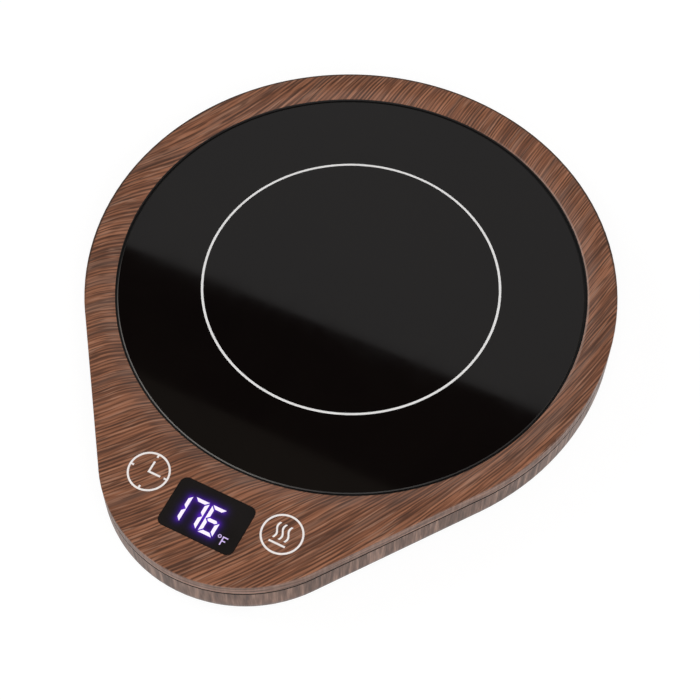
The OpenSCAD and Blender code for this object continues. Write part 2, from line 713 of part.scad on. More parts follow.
module thermal_fuse() {
    color([0.80, 0.80, 0.78]) translate([cutout_left_x, cutout_at[1], cutout_z]) rotate([90, 0, 90])
        rotate_extrude()
            polygon([[0, 0], [cutout_pin_r, 0], [cutout_pin_r, cutout_pin_l], [cutout_r, cutout_pin_l],
                [cutout_r, cutout_pin_l + cutout_l], [cutout_pin_r, cutout_pin_l + cutout_l],
                [cutout_pin_r, 2 * cutout_pin_l + cutout_l], [0, 2 * cutout_pin_l + cutout_l]]);
}

// Strap under the thermal fuse, with a foot on the shield at each side
module fuse_clip() {
    inner = cutout_r + 0.05;
    foot_y = z_shield_low - cutout_z;
    color([0.66, 0.67, 0.69])
        translate([cutout_at[0] - clip_w / 2, cutout_at[1], cutout_z]) rotate([90, 0, 90])
            linear_extrude(clip_w) difference() {
                union() {
                    intersection() {
                        circle(inner + clip_t);
                        translate([-10, -10]) square([20, 10 + foot_y]);
                    }
                    translate([-clip_half_l, foot_y - clip_t]) square([2 * clip_half_l, clip_t]);
                }
                circle(inner);
            }
}

// --- Display, keys and board ---

module display_window() {
    color([0.03, 0.03, 0.035]) union() {
        translate([0, window_y, z_under]) linear_extrude(cover_t)
            rounded_rect(window_w, window_l, window_round);
        translate([0, window_y, z_under - flange_t]) linear_extrude(flange_t)
            rounded_rect(window_w + 2 * window_flange, window_l + 2 * window_flange, window_round);
    }
}

// One bar of a digit, with mitred ends
module digit_bar(l, w) {
    polygon([[-l / 2, 0], [-l / 2 + w / 2, w / 2], [l / 2 - w / 2, w / 2], [l / 2, 0],
        [l / 2 - w / 2, -w / 2], [-l / 2 + w / 2, -w / 2]]);
}

// The seven bars of a digit
module seven_bars(w, l, bar) {
    for (y = [-l / 2, 0, l / 2]) translate([0, y]) digit_bar(w - 0.2, bar);
    for (x = [-w / 2, w / 2]) for (y = [-l / 4, l / 4])
        translate([x, y]) rotate([0, 0, 90]) digit_bar(l / 2 - 0.2, bar);
}

module led_display() {
    body_w = window_w + 2 * window_flange - 2 * mask_wall - 2 * mask_gap;
    body_l = window_l + 2 * window_flange - 2 * mask_wall - 2 * mask_gap;
    body_h = z_under - flange_t - z_board_top;
    color([0.13, 0.13, 0.15]) difference() {
        translate([-body_w / 2, window_y - body_l / 2, z_board_top]) cube([body_w, body_l, body_h]);
        for (x = [-7.05, -2.65, 1.85])
            translate([x, window_y - 0.65, z_board_top + body_h - 0.3]) linear_extrude(1)
                seven_bars(2.9, 6.7, 0.9);
    }
}

module light_mask() {
    outer_w = window_w + 2 * window_flange;
    outer_l = window_l + 2 * window_flange;
    color([0.10, 0.10, 0.10]) difference() {
        translate([-outer_w / 2, window_y - outer_l / 2, z_board_top])
            cube([outer_w, outer_l, z_under - flange_t - z_board_top]);
        translate([-outer_w / 2 + mask_wall, window_y - outer_l / 2 + mask_wall, z_board_top - 1])
            cube([outer_w - 2 * mask_wall, outer_l - 2 * mask_wall, 10]);
    }
}

module touch_pads() {
    color([0.20, 0.20, 0.21]) for (s = [-1, 1])
        translate([s * key_x, key_y, z_board_top]) cylinder(r = pad_r, h = board_drop);
}

module printed_circle() {
    difference() {
        circle(mark_r + mark_line / 2, $fn = 96);
        circle(mark_r - mark_line / 2, $fn = 96);
    }
}

// Clock sign: circle, four hour ticks and two hands
module timer_mark() {
    color([0.93, 0.86, 0.83]) translate([-key_x, key_y, z_top]) linear_extrude(mark_t) {
        printed_circle();
        for (a = [0:90:270]) rotate([0, 0, a])
            translate([0.82 * mark_r, -mark_line / 2]) square([0.16 * mark_r, mark_line]);
        translate([-mark_line / 2, -mark_line / 2]) square([mark_line, 0.64 * mark_r]);
        translate([-mark_line / 2, -mark_line / 2]) square([0.68 * mark_r, mark_line]);
    }
}

// A wavy stroke along Y
module wave_stroke(x, y0, y1) {
    steps = 14;
    sway = 0.35;
    function centre(i) = [x + sway * sin(360 * i / steps), y0 + (y1 - y0) * i / steps];
    polygon(concat([for (i = [0:steps]) centre(i) - [mark_line / 2, 0]],
        [for (i = [steps:-1:0]) centre(i) + [mark_line / 2, 0]]));
}

// Heat sign: circle, three waves over a bar
module heat_mark() {
    color([0.93, 0.86, 0.83]) translate([key_x, key_y, z_top]) linear_extrude(mark_t) {
        printed_circle();
        for (i = [-1:1]) wave_stroke(-0.1 + i * 1.5, -0.31 * mark_r, 0.53 * mark_r);
        translate([-0.43 * mark_r, -0.53 * mark_r - mark_line / 2]) square([0.86 * mark_r, mark_line]);
    }
}

module control_board() {
    color([0.10, 0.36, 0.18]) difference() {
        translate([0, 0, z_board_low]) linear_extrude(board_t)
            polygon([[board_half_w, board_back_y], [board_half_w, board_side_y],
                [board_front_half, board_tip_y], [-board_front_half, board_tip_y],
                [-board_half_w, board_side_y], [-board_half_w, board_back_y]]);
        for (p = posts)
            translate([p[0], p[1], z_board_low - 1]) cylinder(r = post_hole_r + 0.1, h = board_t + 2);
    }
}

module board_screws() {
    color([0.55, 0.56, 0.58]) for (p = posts) translate([p[0], p[1], 0]) {
        translate([0, 0, z_board_low - small_head_h]) cylinder(r = small_head_r, h = small_head_h);
        translate([0, 0, z_board_low - 0.5])
            cylinder(r = small_screw_r, h = z_small_screw_end - z_board_low + 0.5);
    }
}

module controller_chip() {
    color([0.08, 0.08, 0.09]) union() {
        under_board(chip_size, chip_at);
        for (i = [-1.5:1.5]) for (s = [-1, 1])
            under_board([0.5, 1.0, 0.5], chip_at + [i * 1.2, s * (chip_size[1] / 2 + 0.4)]);
    }
}

module triac() {
    color([0.10, 0.10, 0.11]) union() {
        under_board(triac_size, triac_at);
        under_board([5.2, 1.2, 0.6], triac_at + [0, triac_size[1] / 2 + 0.5]);
        for (s = [-1, 1])
            under_board([0.9, 1.4, 0.6], triac_at + [s * 2.2, -triac_size[1] / 2 - 0.6]);
    }
}

module film_capacitor() {
    color([0.78, 0.62, 0.14]) under_board(film_cap_size, film_cap_at);
}

module smoothing_capacitor() {
    color([0.10, 0.12, 0.30])
        translate([round_cap_at[0] - round_cap_l / 2, round_cap_at[1], z_board_low - round_cap_r])
            rotate([90, 0, 90]) rotate_extrude()
                polygon([[0, 0], [round_cap_r, 0], [round_cap_r, 1.2], [round_cap_r - 0.25, 1.5],
                    [round_cap_r - 0.25, 1.9], [round_cap_r, 2.2], [round_cap_r, round_cap_l],
                    [0, round_cap_l]]);
}

module board_fuse() {
    color([0.82, 0.83, 0.80])
        translate([fuse_at[0] - fuse_l / 2, fuse_at[1], z_board_low - fuse_cap_r])
            rotate([90, 0, 90]) rotate_extrude()
                polygon([[0, 0], [fuse_cap_r, 0], [fuse_cap_r, 2.5], [fuse_cap_r - 0.2, 2.5],
                    [fuse_cap_r - 0.2, fuse_l - 2.5], [fuse_cap_r, fuse_l - 2.5], [fuse_cap_r, fuse_l],
                    [0, fuse_l]]);
}

// A two-way terminal block, with its clamp screws' wells in the underside
module terminal(size, at) {
    difference() {
        under_board(size, at);
        for (s = [-1, 1]) translate([at[0] + s * size[0] / 4, at[1], z_board_low - size[2] - 1])
            cylinder(r = 1.4, h = 1.8);
    }
}

module mains_terminal() {
    color([0.12, 0.42, 0.30]) terminal(mains_terminal_size, mains_terminal_at);
}

module heater_terminal() {
    color([0.12, 0.42, 0.30]) terminal(heater_terminal_size, heater_terminal_at);
}

module sensor_socket() {
    color([0.92, 0.90, 0.84]) under_board(sensor_socket_size, sensor_socket_at);
}

module heater_leads() {
    color([0.90, 0.88, 0.84]) {
        lead(lead_to_cutout, lead_r);
        lead(lead_to_first_stud, lead_r);
        lead(lead_to_second_stud, lead_r);
    }
}

module sensor_leads() {
    color([0.12, 0.12, 0.13]) for (s = [-1, 1]) lead(sensor_route(s), thin_lead_r);
}

top_cover();
base_cover();
glass_plate();
plate_ring();
seal_ring();
display_window();
led_display();
light_mask();
touch_pads();
timer_mark();
heat_mark();
control_board();
board_screws();
controller_chip();
triac();
film_capacitor();
smoothing_capacitor();
board_fuse();
mains_terminal();
heater_terminal();
sensor_socket();
heat_spreader();
heater_film();
heater_track();
insulation_pad();
heat_shield();
shield_screws();
thermistor();
thermal_fuse();
fuse_clip();
heater_leads();
sensor_leads();
cord_bush();
case_screws();
rubber_feet();
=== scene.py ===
"""Looks of the electric mug warmer: materials on the solids, the lit display, studio and camera.

Lengths are metres, except where a comment says millimetres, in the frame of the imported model:
+Z up and the nose towards -Y.
"""

import json
import math

import bmesh
import bpy
from mathutils import Matrix, Vector


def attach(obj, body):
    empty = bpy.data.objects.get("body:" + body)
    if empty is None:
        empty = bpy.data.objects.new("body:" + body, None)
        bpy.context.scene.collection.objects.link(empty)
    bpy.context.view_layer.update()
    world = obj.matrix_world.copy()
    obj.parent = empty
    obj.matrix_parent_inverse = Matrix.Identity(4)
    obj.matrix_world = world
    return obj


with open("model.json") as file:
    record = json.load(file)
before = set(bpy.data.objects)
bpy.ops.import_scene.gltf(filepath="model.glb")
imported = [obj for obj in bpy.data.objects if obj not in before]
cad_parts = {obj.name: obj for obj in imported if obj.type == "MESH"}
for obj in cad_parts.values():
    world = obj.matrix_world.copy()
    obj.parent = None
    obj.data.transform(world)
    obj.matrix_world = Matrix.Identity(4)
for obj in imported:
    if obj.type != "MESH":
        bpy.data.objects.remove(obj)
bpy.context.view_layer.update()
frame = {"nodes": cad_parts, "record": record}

MM = 0.001
PLATE_CENTRE = Vector((0.0, 0.01145, 0.0150))
COVER_TOP = 0.0172
WINDOW_CENTRE = Vector((0.0, -0.06305, COVER_TOP))
# Thickness of the light prints on the window, and how near points of a mesh are merged
PRINT_THICK, WELD = 0.00002, 1e-7


# --- Node trees ---

class Tree:
    """A short way to fill a node tree: nodes are added with their values and linked by socket."""

    def __init__(self, tree):
        self.tree = tree

    def add(self, kind, inputs=None, **settings):
        node = self.tree.nodes.new(kind)
        for name, value in settings.items():
            setattr(node, name, value)
        for key, value in (inputs or {}).items():
            self.feed(node.inputs[key], value)
        return node

    def feed(self, socket, value):
        """Links a socket, or sets it to a value; colours are given without alpha."""
        if isinstance(value, bpy.types.NodeSocket):
            self.tree.links.new(value, socket)
        else:
            socket.default_value = (*value, 1.0) if socket.type == "RGBA" else value

    def use(self, group, **inputs):
        """Places a node group, with _ for a space in the names of its inputs."""
        node = self.add("ShaderNodeGroup", node_tree=group)
        for key, value in inputs.items():
            self.feed(node.inputs[key.replace("_", " ")], value)
        return node.outputs

    def math(self, operation, *values, clamp=False):
        node = self.add("ShaderNodeMath", operation=operation, use_clamp=clamp)
        for socket, value in zip(node.inputs, values):
            self.feed(socket, value)
        return node.outputs[0]

    def vector(self, operation, a, b=None):
        """A vector operation; LENGTH and DOT_PRODUCT give a number."""
        inputs = {0: a} if b is None else {0: a, 1: b}
        node = self.add("ShaderNodeVectorMath", inputs, operation=operation)
        return node.outputs["Value" if operation in ("LENGTH", "DOT_PRODUCT") else "Vector"]

    def scaled(self, vector, factor):
        inputs = {0: vector, "Scale": factor}
        return self.add("ShaderNodeVectorMath", inputs, operation="SCALE").outputs[0]

    def split(self, vector):
        return self.add("ShaderNodeSeparateXYZ", {0: vector}).outputs

    def joined(self, x, y, z):
        return self.add("ShaderNodeCombineXYZ", {0: x, 1: y, 2: z}).outputs[0]

    def toward(self, direction, angle):
        """How far a level direction points towards an angle about Z, from -1 to 1."""
        return self.vector("DOT_PRODUCT", direction, (math.cos(angle), math.sin(angle), 0.0))

    def weighted(self, *pairs):
        """The sum of values, each times its weight."""
        (first, weight), *others = pairs
        total = self.math("MULTIPLY", first, weight)
        for value, weight in others:
            total = self.math("MULTIPLY_ADD", value, weight, total)
        return total

    def swayed(self, value, noise, amount):
        """A value that a noise from 0 to 1 moves to both sides."""
        return self.math("MULTIPLY_ADD", self.math("SUBTRACT", noise, 0.5), amount, value)

    def mix(self, factor, a, b):
        return self.add("ShaderNodeMix", {0: factor, 6: a, 7: b}, data_type="RGBA").outputs[2]

    def noise(self, vector, rate, detail=2.0, roughness=0.5, distortion=0.0):
        """Noise with this many changes per metre, as one number or as one for each axis."""
        if isinstance(rate, tuple):
            vector, rate = self.vector("MULTIPLY", vector, rate), 1.0
        return self.add("ShaderNodeTexNoise", {
            "Vector": vector, "Scale": rate, "Detail": detail, "Roughness": roughness,
            "Distortion": distortion}).outputs["Fac"]

    def ramp(self, factor, stops):
        node = self.add("ShaderNodeValToRGB", {0: factor})
        band = node.color_ramp
        while len(band.elements) < len(stops):
            band.elements.new(0.5)
        for element, (place, colour) in zip(band.elements, stops):
            element.position = place
            element.color = (*colour, 1.0)
        return node.outputs[0]

    def range(self, value, low, high, to_low=0.0, to_high=1.0, smooth=False):
        node = self.add("ShaderNodeMapRange", {
            "Value": value, "From Min": low, "From Max": high, "To Min": to_low,
            "To Max": to_high}, interpolation_type="SMOOTHSTEP" if smooth else "LINEAR")
        return node.outputs["Result"]


FLOAT, VECTOR, COLOUR = "NodeSocketFloat", "NodeSocketVector", "NodeSocketColor"


def new_group(name, inputs, outputs):
    """An empty shader node group, its tree, and the sockets that it is given and gives out."""
    group = bpy.data.node_groups.new(name, "ShaderNodeTree")
    for label, kind, value in inputs:
        socket = group.interface.new_socket(label, in_out="INPUT", socket_type=kind)
        if value is not None:
            socket.default_value = value
    for label, kind in outputs:
        group.interface.new_socket(label, in_out="OUTPUT", socket_type=kind)
    t = Tree(group)
    return group, t, t.add("NodeGroupInput").outputs, t.add("NodeGroupOutput").inputs


# --- Wood-grain film ---

# How far a place is across and along the bent grain, in metres: the factors of x, y, x squared,
# x times y and y squared
GRAIN_ACROSS = (-0.872, 0.420, -0.855, -1.845, -1.046)
GRAIN_ALONG = (0.429, 0.896, -1.843, -0.747, 0.334)
# How far the streaks wander sideways, slowly and quickly, and how far those of the sides lean
SLOW_WANDER, QUICK_WANDER, SIDE_LEAN = 0.0016, 0.0002, 0.0030
STREAK_PITCH, STREAK_SWAY = 0.00088, 15.0
# Colours by tone: on the top, on the sides, and in the level lines of the cover's edge
TOP_TONES = ((0.38, (0.085, 0.036, 0.021)), (0.455, (0.150, 0.058, 0.031)),
             (0.51, (0.225, 0.087, 0.044)), (0.565, (0.320, 0.130, 0.069)),
             (0.64, (0.430, 0.205, 0.125)))
SIDE_TONES = ((0.40, (0.076, 0.038, 0.025)), (0.46, (0.112, 0.056, 0.037)),
              (0.53, (0.160, 0.083, 0.055)), (0.60, (0.255, 0.142, 0.097)))
TRIM_TONES = ((0.38, (0.058, 0.026, 0.016)), (0.50, (0.145, 0.070, 0.045)),
              (0.62, (0.310, 0.172, 0.120)))
CREST, GROOVE, GREYED = (0.40, 0.175, 0.095), (0.072, 0.028, 0.015), (0.165, 0.098, 0.072)
GLINT, DASH, TABLE_SHADE = (0.46, 0.25, 0.165), (0.060, 0.025, 0.014), (0.035, 0.025, 0.020)


def wood_film_group():
    """Printed film: long streaks that bend over the top, and upright streaks on the sides."""
    group, t, given, out = new_group(
        "wood_film",
        [("Vector", VECTOR, None), ("Steepness", FLOAT, 0.0), ("Edge Band", FLOAT, 0.0),
         ("Low Band", FLOAT, 0.0), ("Stretch", FLOAT, 0.0), ("Shade", FLOAT, 1.0)],
        [("Color", COLOUR), ("Roughness", FLOAT), ("Height", FLOAT)])
    place = given["Vector"]
    x, y, z = t.split(place)
    products = (x, y, *(t.math("MULTIPLY", a, b) for a, b in ((x, x), (x, y), (y, y))))
    across, along = (t.weighted(*zip(products, factors)) for factors in (GRAIN_ACROSS, GRAIN_ALONG))
    across = t.swayed(across, t.noise(place, 22.0, detail=1.0), SLOW_WANDER)
    across = t.swayed(across, t.noise(place, 110.0, detail=1.0), QUICK_WANDER)
    across = t.math("ADD", across, given["Stretch"])
    flow = t.joined(along, across, 0.0)

    bands = t.noise(flow, (14.0, 190.0, 1.0))
    lines = t.noise(flow, (38.0, 1250.0, 1.0))
    fibres = t.noise(flow, (110.0, 2600.0, 1.0), roughness=0.6)
    tone = t.weighted((bands, 0.34), (lines, 0.40), (fibres, 0.26))
    sway = t.math("MULTIPLY", t.noise(flow, (20.0, 240.0, 1.0), detail=1.0), STREAK_SWAY)
    wave = t.math("SINE", t.math("MULTIPLY_ADD", across, 2 * math.pi / STREAK_PITCH, sway))
    breaks = t.noise(flow, (62.0, 760.0, 1.0), detail=1.0)
    crests = t.swayed(wave, breaks, 3.0)
    grooves = t.swayed(t.math("MULTIPLY", wave, -1.0), breaks, 3.4)
    greyer = t.noise(flow, (30.0, 330.0, 1.0), detail=1.0)
    glints = t.noise(flow, (90.0, 1900.0, 1.0), detail=1.0, roughness=0.4)
    dashes = t.noise(flow, (125.0, 2100.0, 1.0), detail=1.0)
    top = t.ramp(tone, TOP_TONES)
    for pattern, low, high, most, colour in (
            (crests, 0.25, 1.15, 0.50, CREST), (grooves, 0.30, 1.05, 0.78, GROOVE),
            (greyer, 0.56, 0.68, 0.42, GREYED), (glints, 0.60, 0.70, 0.50, GLINT),
            (dashes, 0.56, 0.66, 0.62, DASH)):
        top = t.mix(t.range(pattern, low, high, 0.0, most), top, colour)

    column = t.joined(x, y, t.swayed(z, t.noise(place, 140.0, detail=1.0), SIDE_LEAN))
    upright = t.noise(column, (820.0, 820.0, 60.0), roughness=0.55, distortion=0.4)
    ripple = t.noise(column, (1500.0, 1500.0, 130.0), roughness=0.6)
    patches = t.noise(place, (90.0, 90.0, 60.0))
    side_tone = t.weighted((upright, 0.55), (ripple, 0.35), (patches, 0.10))
    # The Low Band darkens the sides towards the table with painted shade
    side = t.mix(given["Low Band"], t.ramp(side_tone, SIDE_TONES), TABLE_SHADE)
    trim = t.ramp(t.noise(place, (60.0, 60.0, 2200.0), roughness=0.6), TRIM_TONES)
    side = t.mix(t.math("MULTIPLY", given["Edge Band"], 0.85), side, trim)

    steep = t.range(given["Steepness"], 0.30, 0.80, smooth=True)
    grain = t.math("ADD", t.math("MULTIPLY", tone, t.math("SUBTRACT", 1.0, steep)),
                   t.math("MULTIPLY", side_tone, steep))
    t.feed(out["Color"], t.scaled(t.mix(steep, top, side), given["Shade"]))
    t.feed(out["Roughness"], t.range(grain, 0.40, 0.62, 0.50, 0.40))
    t.feed(out["Height"], grain)
    return group


# --- Other shared finishes ---

def smudge_group():
    """Handling marks: a value that drifts between a low and a high one."""
    group, t, given, out = new_group(
        "smudges",
        [("Vector", VECTOR, None), ("Scale", FLOAT, 1.0), ("Low", FLOAT, 0.0),
         ("High", FLOAT, 1.0)],
        [("Value", FLOAT)])
    place = t.scaled(given["Vector"], given["Scale"])
    cloud = t.noise(place, 60.0, detail=4.0, roughness=0.6, distortion=0.6)
    t.feed(out["Value"], t.range(cloud, 0.30, 0.70, given["Low"], given["High"]))
    return group


def moulded_group():
    """Fine spark-eroded grain of a moulded surface, with a slight change of tone."""
    group, t, given, out = new_group(
        "moulded_grain",
        [("Vector", VECTOR, None), ("Scale", FLOAT, 1.0),
         ("Color", COLOUR, (0.5, 0.5, 0.5, 1.0)), ("Contrast", FLOAT, 0.15)],
        [("Color", COLOUR), ("Height", FLOAT)])
    place = t.scaled(given["Vector"], given["Scale"])
    grain = t.noise(place, 3200.0, roughness=0.6)
    cloud = t.noise(place, 160.0, detail=3.0, roughness=0.6)
    darkest = t.math("SUBTRACT", 1.0, given["Contrast"])
    palest = t.math("ADD", 1.0, given["Contrast"])
    tone = t.range(t.weighted((grain, 0.4), (cloud, 0.6)), 0.3, 0.7, darkest, palest)
    t.feed(out["Color"], t.scaled(given["Color"], tone))
    t.feed(out["Height"], grain)
    return group


def metal_group():
    """Drawn or rolled metal: fine lines along X and a cloudy plating tone."""
    group, t, given, out = new_group(
        "rolled_metal",
        [("Vector", VECTOR, None), ("Line Scale", FLOAT, 1.0),
         ("Color", COLOUR, (0.6, 0.6, 0.6, 1.0))],
        [("Color", COLOUR), ("Roughness", FLOAT), ("Height", FLOAT)])
    place = t.scaled(given["Vector"], given["Line Scale"])
    lines = t.noise(place, (60.0, 4200.0, 4200.0), roughness=0.6)
    cloud = t.noise(place, 220.0, detail=3.0, roughness=0.6)
    tone = t.weighted((lines, 0.5), (cloud, 0.5))
    t.feed(out["Color"], t.scaled(given["Color"], t.range(tone, 0.3, 0.7, 0.78, 1.12)))
    t.feed(out["Roughness"], t.range(tone, 0.3, 0.7, 0.42, 0.22))
    t.feed(out["Height"], lines)
    return group


# Bars of a digit: column and row of the bar's middle, in half widths and half heights from the
# digit's middle, and the quarter turns that bring the bar's outer side outwards
BAR_PLACES = {
    "Top": (0, 1, 0), "Upper Left": (-1, 0.5, 1), "Upper Right": (1, 0.5, -1),
    "Middle": (0, 0, 0), "Lower Left": (-1, -0.5, 1), "Lower Right": (1, -0.5, -1),
    "Bottom": (0, -1, 2)}
LIT_BARS = {"1": ("Upper Right", "Lower Right"), "7": ("Top", "Upper Right", "Lower Right"),
            "6": ("Top", "Upper Left", "Middle", "Lower Left", "Lower Right", "Bottom")}
# The shown digits with the middle of each one from the window's middle, and the measures of a
# digit and of its bars, in millimetres
DIGITS = (("1", -7.05), ("7", -2.65), ("6", 1.85))
DIGIT_HALF_W, DIGIT_HALF_H, DIGIT_MIDDLE_Y = 1.45, 3.35, -0.65
BAR_WIDTH, BAR_GAP = 0.86, 0.26
# How far the glowing core of a bar reaches to each side, in half widths or half heights
FLAT_CORE, UPRIGHT_CORE = 0.8, 0.4
GLOW_SPREAD, GLOW_LIMIT, GLOW_TINT, GLOW_STRENGTH = 0.00048, 0.75, (0.080, 0.008, 0.46), 1.25


def digit_glow_group():
    """Light that a digit spreads through the smoked window, by distance to its lit bars."""
    group, t, given, out = new_group(
        "digit_glow",
        [("Vector", VECTOR, None), ("Middle X", FLOAT, 0.0), ("Middle Y", FLOAT, 0.0),
         ("Half Width", FLOAT, 0.0015), ("Half Height", FLOAT, 0.0033), ("Spread", FLOAT, 0.0006)]
        + [(bar, FLOAT, 1.0) for bar in BAR_PLACES],
        [("Glow", FLOAT)])
    x, y, _ = t.split(given["Vector"])
    x = t.math("SUBTRACT", x, given["Middle X"])
    y = t.math("SUBTRACT", y, given["Middle Y"])
    half_w, half_h = given["Half Width"], given["Half Height"]
    total = 0.0
    for bar, (column, row, quarters) in BAR_PLACES.items():
        dx = t.math("ABSOLUTE", t.math("SUBTRACT", x, t.math("MULTIPLY", half_w, column)))
        dy = t.math("ABSOLUTE", t.math("SUBTRACT", y, t.math("MULTIPLY", half_h, row)))
        if quarters % 2:
            core = t.math("MULTIPLY", half_h, UPRIGHT_CORE)
            dy = t.math("MAXIMUM", t.math("SUBTRACT", dy, core), 0.0)
        else:
            core = t.math("MULTIPLY", half_w, FLAT_CORE)
            dx = t.math("MAXIMUM", t.math("SUBTRACT", dx, core), 0.0)
        away = t.math("SQRT", t.math("ADD", t.math("MULTIPLY", dx, dx), t.math("MULTIPLY", dy, dy)))
        spreads = t.math("DIVIDE", away, given["Spread"])
        fall = t.math("EXPONENT", t.math("MULTIPLY", spreads, -1.0))
        total = t.math("ADD", total, t.math("MULTIPLY", fall, given[bar]))
    t.feed(out["Glow"], total)
    return group


WOOD, SMUDGES, MOULDED, METAL, DIGIT_GLOW = (
    wood_film_group(), smudge_group(), moulded_group(), metal_group(), digit_glow_group())


# --- Materials ---

def new_material(name):
    """A new material, its node tree, its shader's inputs and the place on the piece."""
    material = bpy.data.materials.new(name)
    material.use_nodes = True
    t = Tree(material.node_tree)
    shader = material.node_tree.nodes["Principled BSDF"].inputs
    return material, t, shader, t.add("ShaderNodeTexCoord").outputs["Object"]


def add_bump(t, shader, height, strength, depth):
    node = t.add("ShaderNodeBump", {"Strength": strength, "Distance": depth, "Height": height})
    t.feed(shader["Normal"], node.outputs[0])
    return node


def surface_normal(t):
    """The surface's normal, and how far it points up."""
    normal = t.add("ShaderNodeNewGeometry").outputs["Normal"]
    return normal, t.split(normal)[2]


def from_plate(t, place):
    """Distance from the plate's axis, and the level direction away from it."""
    offset = t.vector("SUBTRACT", place, PLATE_CENTRE)
    level = t.vector("MULTIPLY", offset, (1.0, 1.0, 0.0))
    return t.vector("LENGTH", level), t.vector("NORMALIZE", level)


# Heights: the joint between cover and base, where the film ends on each, the band along the
# cover's upper edge, and the shade near the table from its start to its full depth
PARTING_Z, BASE_RIM_Z = 0.0136, 0.0132
COVER_JOINT_Z, BASE_JOINT_Z = PARTING_Z + 0.00008, BASE_RIM_Z - 0.00010
EDGE_LOW_Z, EDGE_HIGH_Z = COVER_TOP - 0.0009, COVER_TOP - 0.0004
LOW_SHADE_Z, LOW_SHADE_DEPTH = (0.0076, 0.0048), 0.70
# Distances from the plate's axis: the slope from its upper to its lower end, the end of the bare
# lip and its painted shade at the front and at the rear, the painted highlight on the lip, and
# the painted shade on the upper edge
SLOPE_R, BARE_AND_SHADED_LIP_R = (0.0668, 0.0610), (0.06005, 0.06034)
LIP_HIGHLIGHT_R, EDGE_SHADE_R = (0.06080, 0.06055), (0.06685, 0.06715)
SLOPE_ANGLE = math.radians(31.0)
# The film bends over the crease above the slope, which draws its pattern a little to one side
CREASE_R, CREASE_SPREAD, CREASE_SHIFT = 0.0639, 0.0028, 0.00021
# Directions about the plate's axis, from +X: middle of the bare lip's wide part of painted shade,
# of the painted highlight on the lip, of the painted shade on the upper edge, and of the painted
# highlight on the glass's ground edge
BARE_AND_SHADED_LIP_SIDE, LIP_HIGHLIGHT_SIDE, EDGE_SHADE_SIDE, GLASS_HIGHLIGHT_SIDE = (
    math.radians(angle) for angle in (105.0, 35.0, 116.0, 243.0))
# Colours of the painted highlight on the lip and of the painted shade on the cover's upper edge
LIP_HIGHLIGHT, EDGE_SHADE = (0.50, 0.36, 0.30), (0.030, 0.017, 0.012)
# Bare dark plastic, which also serves as the painted shade on the cover's lip
BARE_PLASTIC_AND_SHADE, BARE_ROUGHNESS = (0.0022, 0.0012, 0.0009), 0.7
DARK_GLASS, PALER_GLASS = (0.0022, 0.0012, 0.0011), (0.0030, 0.0018, 0.0015)
# Ground edge of the glass, and the painted highlight on it
GROUND_GLASS, GLASS_EDGE_HIGHLIGHT = (0.012, 0.011, 0.010), (0.19, 0.185, 0.175)
GLASS_IOR = PLASTIC_IOR = 1.5


def lay_film(t, shader, place, facing, offset, **inputs):
    """Starts a case half's film: gives the outputs of its group and the node of its relief."""
    moved = t.add("ShaderNodeMapping", {"Vector": place, "Location": offset}).outputs[0]
    steepness = t.math("SUBTRACT", 1.0, t.math("ABSOLUTE", facing))
    film = t.use(WOOD, Vector=moved, Steepness=steepness, **inputs)
    shader["IOR"].default_value = PLASTIC_IOR
    shader["Specular IOR Level"].default_value = 0.35
    return film, add_bump(t, shader, film["Height"], 0.25, 0.00004)


def finish_film(t, shader, film, colour, darkened):
    """Puts the film's colour on the shader, with bare dark plastic where it is darkened; on the
    cover's lip this is also painted shade.
    """
    t.feed(shader["Base Color"], t.mix(darkened, colour, BARE_PLASTIC_AND_SHADE))
    bare = t.math("MULTIPLY", darkened, BARE_ROUGHNESS)
    t.feed(shader["Roughness"], t.math("MAXIMUM", film["Roughness"], bare))


